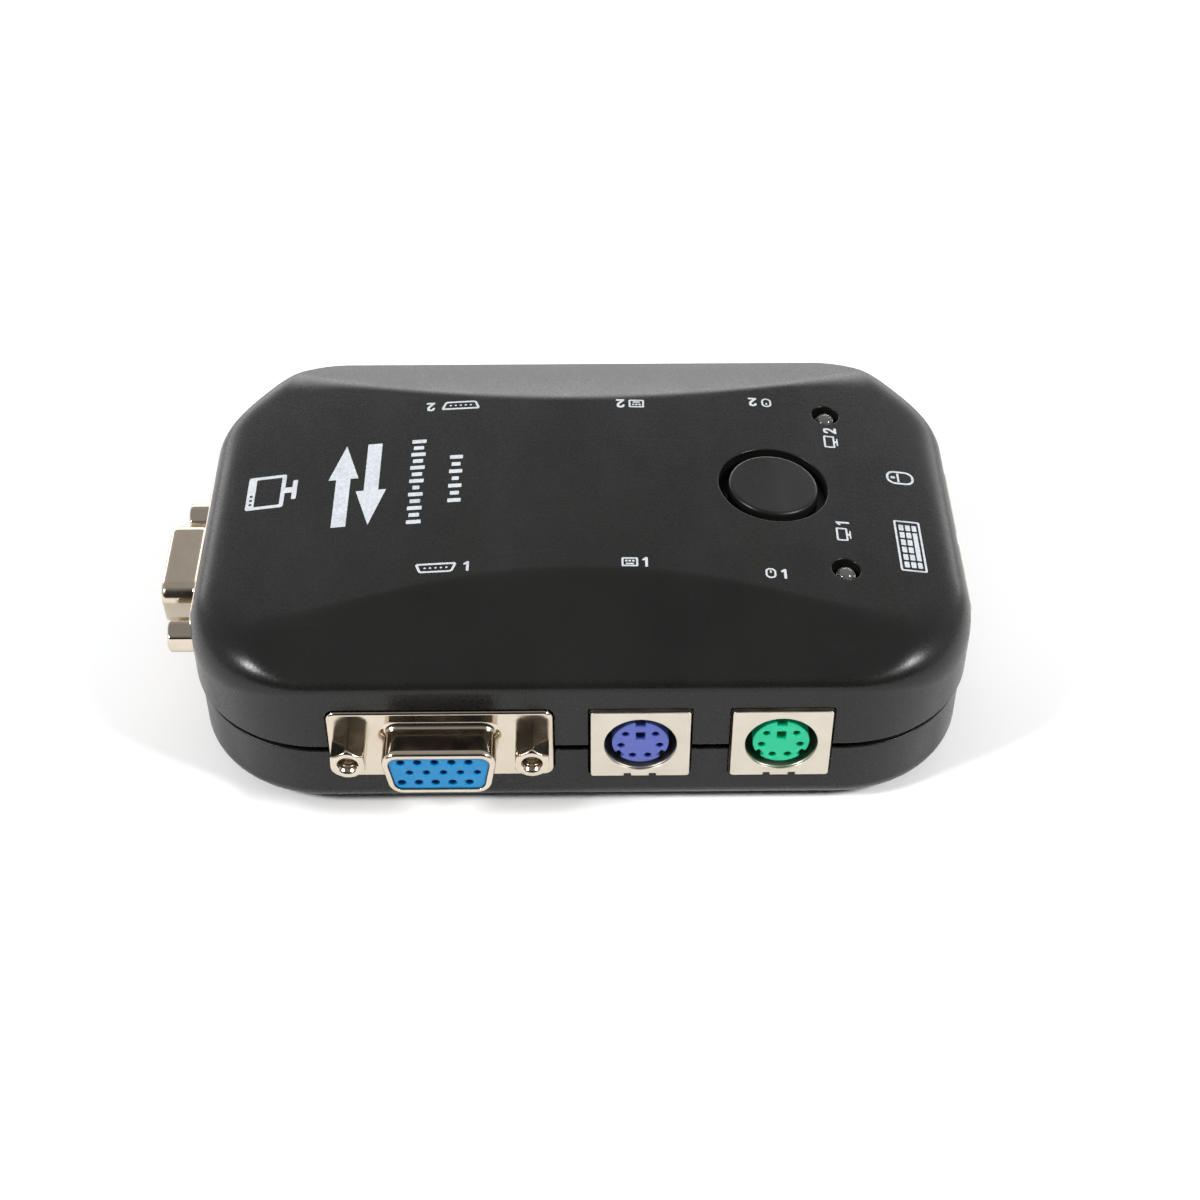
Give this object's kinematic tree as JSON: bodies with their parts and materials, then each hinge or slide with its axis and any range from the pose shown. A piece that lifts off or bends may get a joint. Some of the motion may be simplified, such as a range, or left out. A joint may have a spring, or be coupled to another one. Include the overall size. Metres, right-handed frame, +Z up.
{
  "type": "kvm switch",
  "caption": "Flat black KVM switch box with a round select button, two lights, video sockets on three sides and keyboard and mouse jacks on three sides.",
  "frame": {"origin": "on the surface that the feet stand on, at the middle of the part's bounding box in plan", "axes": "+X towards the right end with the shared keyboard and mouse jacks, -X towards the monitor socket, -Y towards computer 1's sockets, +Z up"},
  "size_m": [0.1164, 0.0826, 0.0308],
  "materials": {
    "black_plastic": "fine satin moulded texture",
    "button_plastic": "satin",
    "black_rubber": "matte",
    "steel": "zinc-plated, satin",
    "board_laminate": "solder-masked laminate",
    "chip_black": "matte moulded",
    "tinned_metal": "tinned",
    "clear_lens": "clear moulded resin",
    "capacitor_sleeve": "glossy sleeve",
    "diode_glass": "clear glass",
    "chip_ceramic": "matte",
    "nickel": "bright nickel plating",
    "nickel_plate": "satin nickel plating",
    "blue_plastic": "moulded",
    "violet_plastic": "moulded",
    "green_plastic": "moulded",
    "gold": "gold-plated",
    "white_ink": "screen-printed marks"
  },
  "bodies": {
    "case": {"top_cover": "black_plastic", "bottom_cover": "black_plastic", "rubber_feet": "black_rubber", "case_screws": "steel", "main_board": "board_laminate", "switch_base": "chip_black", "switch_frame": "tinned_metal", "pc1_light": "clear_lens", "pc2_light": "clear_lens", "light_leads": "tinned_metal", "controller_chip": "chip_black", "video_chips": "chip_black", "chip_leads": "tinned_metal", "crystal": "tinned_metal", "capacitors": "capacitor_sleeve", "diodes": "diode_glass", "chip_parts": "chip_ceramic", "jack_bases": "chip_black", "pc1_video_shell": "nickel", "pc1_video_insulator": "blue_plastic", "pc1_video_contacts": "gold", "pc1_video_brackets": "tinned_metal", "pc1_video_jackscrews": "nickel", "pc2_video_shell": "nickel", "pc2_video_insulator": "blue_plastic", "pc2_video_contacts": "gold", "pc2_video_brackets": "tinned_metal", "pc2_video_jackscrews": "nickel", "monitor_shell": "nickel", "monitor_insulator": "blue_plastic", "monitor_contacts": "gold", "monitor_brackets": "tinned_metal", "monitor_jackscrews": "nickel", "pc1_keyboard_shield": "nickel_plate", "pc1_keyboard_can": "nickel_plate", "pc1_keyboard_core": "violet_plastic", "pc1_keyboard_contacts": "gold", "pc1_mouse_shield": "nickel_plate", "pc1_mouse_can": "nickel_plate", "pc1_mouse_core": "green_plastic", "pc1_mouse_contacts": "gold", "pc2_keyboard_shield": "nickel_plate", "pc2_keyboard_can": "nickel_plate", "pc2_keyboard_core": "violet_plastic", "pc2_keyboard_contacts": "gold", "pc2_mouse_shield": "nickel_plate", "pc2_mouse_can": "nickel_plate", "pc2_mouse_core": "green_plastic", "pc2_mouse_contacts": "gold", "shared_keyboard_shield": "nickel_plate", "shared_keyboard_can": "nickel_plate", "shared_keyboard_core": "violet_plastic", "shared_keyboard_contacts": "gold", "shared_mouse_shield": "nickel_plate", "shared_mouse_can": "nickel_plate", "shared_mouse_core": "green_plastic", "shared_mouse_contacts": "gold"},
    "button": {"select_button": "button_plastic"},
    "plunger": {"switch_plunger": "chip_black"}
  },
  "joints": [
    {"name": "button_press", "type": "slide", "parent": "case", "child": "button", "axis": [0, 0, -1], "range_m": [0, 0.0003], "stiffness_N_per_m": 5000},
    {"name": "plunger_press", "type": "slide", "parent": "case", "child": "plunger", "axis": [0, 0, -1], "range_m": [0, 0.0003], "stiffness_N_per_m": 1000}
  ],
  "couplings": [
    {"joint": "plunger_press", "follows": "button_press", "ratio": 1}
  ]
}
